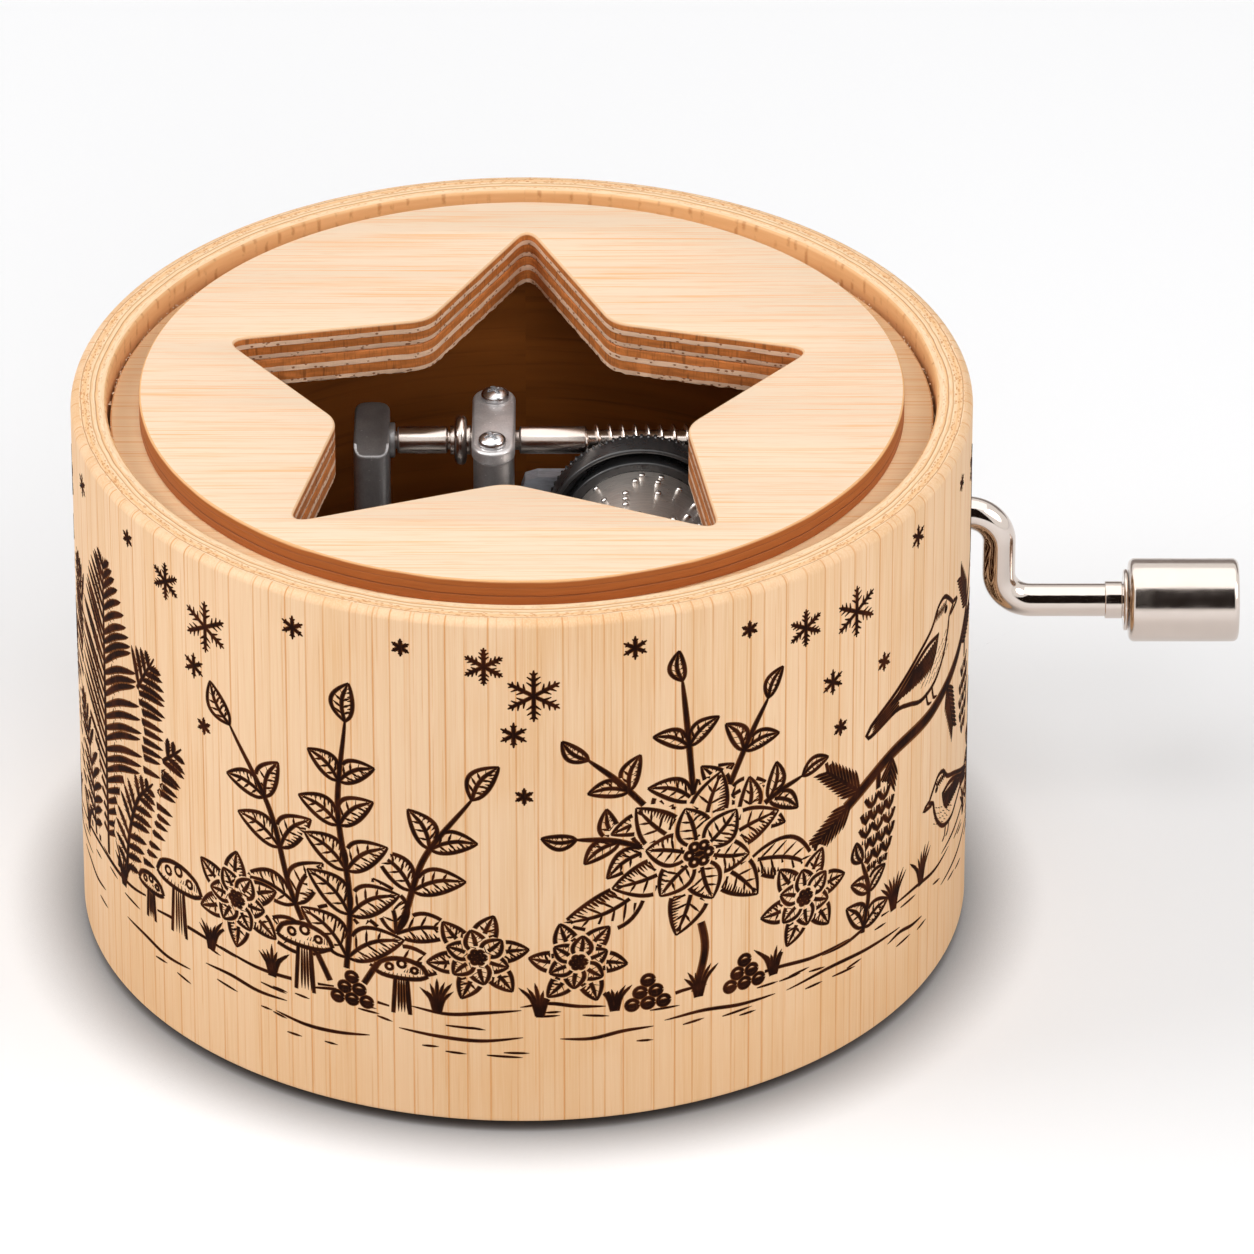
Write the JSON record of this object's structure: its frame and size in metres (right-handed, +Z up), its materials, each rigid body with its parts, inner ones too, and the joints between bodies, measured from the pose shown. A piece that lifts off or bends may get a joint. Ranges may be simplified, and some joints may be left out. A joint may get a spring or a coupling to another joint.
{
  "type": "hand crank music box",
  "caption": "Round wooden drum with a star window in its lid, a pinned cylinder and steel comb movement inside, and an offset hand crank with a free-turning knob.",
  "frame": {"origin": "middle of the underside of the pad that the box rests on", "axes": "+Z up, +X out along the crank spindle, the front of the box faces -Y"},
  "size_m": [0.1049, 0.08, 0.0527],
  "materials": {
    "pale_wood": "fine sanded, unvarnished, vertical grain",
    "lid_wood": "fine sanded plywood with grain along X",
    "stained_wood": "dark brown stain",
    "felt": "dense felt",
    "cast_metal": "satin grey casting",
    "bracket_steel": "blued sheet steel",
    "nickel": "polished nickel plate",
    "screw_steel": "bright zinc plate",
    "comb_steel": "ground spring steel",
    "brass": "machined brass",
    "cylinder_metal": "brushed, brownish grey",
    "black_plastic": "black moulded, satin"
  },
  "bodies": {
    "root": {"outer_wall": "pale_wood", "inner_liner": "stained_wood", "lid_top_disc": "lid_wood", "lid_flange_disc": "lid_wood", "base_board": "pale_wood", "base_pad": "felt", "riser_block": "pale_wood", "base_screw_left": "screw_steel", "base_screw_right": "screw_steel", "bedplate": "cast_metal", "bedplate_screw_1": "screw_steel", "bedplate_screw_2": "screw_steel", "bedplate_screw_3": "screw_steel", "bedplate_screw_4": "screw_steel", "end_post": "cast_metal", "bearing_post": "cast_metal", "bearing_cap": "cast_metal", "cap_screw_rear": "screw_steel", "cap_screw_front": "screw_steel", "comb": "comb_steel", "comb_screw_rear": "screw_steel", "comb_screw_front": "screw_steel", "rear_arbor_bracket": "bracket_steel", "rear_bracket_screw_left": "screw_steel", "rear_bracket_screw_right": "screw_steel", "front_arbor_bracket": "bracket_steel", "front_bracket_screw_left": "screw_steel", "front_bracket_screw_right": "screw_steel", "transfer_bracket": "bracket_steel", "transfer_bracket_screw": "screw_steel", "wall_bushing": "brass"},
    "cylinder": {"pinned_cylinder": "cylinder_metal", "cylinder_cap": "black_plastic", "drive_gear": "black_plastic", "arbor": "screw_steel"},
    "worm": {"worm_shaft": "nickel", "thrust_collar": "nickel", "worm_pinion": "brass"},
    "crank": {"crank_rod": "nickel", "crank_pinion": "brass", "spindle_collar": "nickel", "crank_sleeve": "nickel", "knob_washer": "nickel"},
    "knob": {"knob": "nickel"}
  },
  "joints": [
    {"name": "crank_turn", "type": "hinge", "parent": "root", "child": "crank", "pos_m": [0.0401, 0.014, 0.0315], "axis": [1, 0, 0], "continuous": true},
    {"name": "knob_spin", "type": "hinge", "parent": "crank", "child": "knob", "pos_m": [0.0602, 0.014, 0.0223], "axis": [1, 0, 0], "continuous": true},
    {"name": "worm_turn", "type": "hinge", "parent": "root", "child": "worm", "pos_m": [0.01066, 0.014, 0.0391], "axis": [1, 0, 0], "continuous": true},
    {"name": "cylinder_turn", "type": "hinge", "parent": "root", "child": "cylinder", "pos_m": [0.01066, 0.014, 0.03191], "axis": [0, 1, 0], "continuous": true}
  ],
  "couplings": [
    {"joint": "worm_turn", "follows": "crank_turn", "ratio": -1},
    {"joint": "cylinder_turn", "follows": "crank_turn", "ratio": 0.03125}
  ]
}
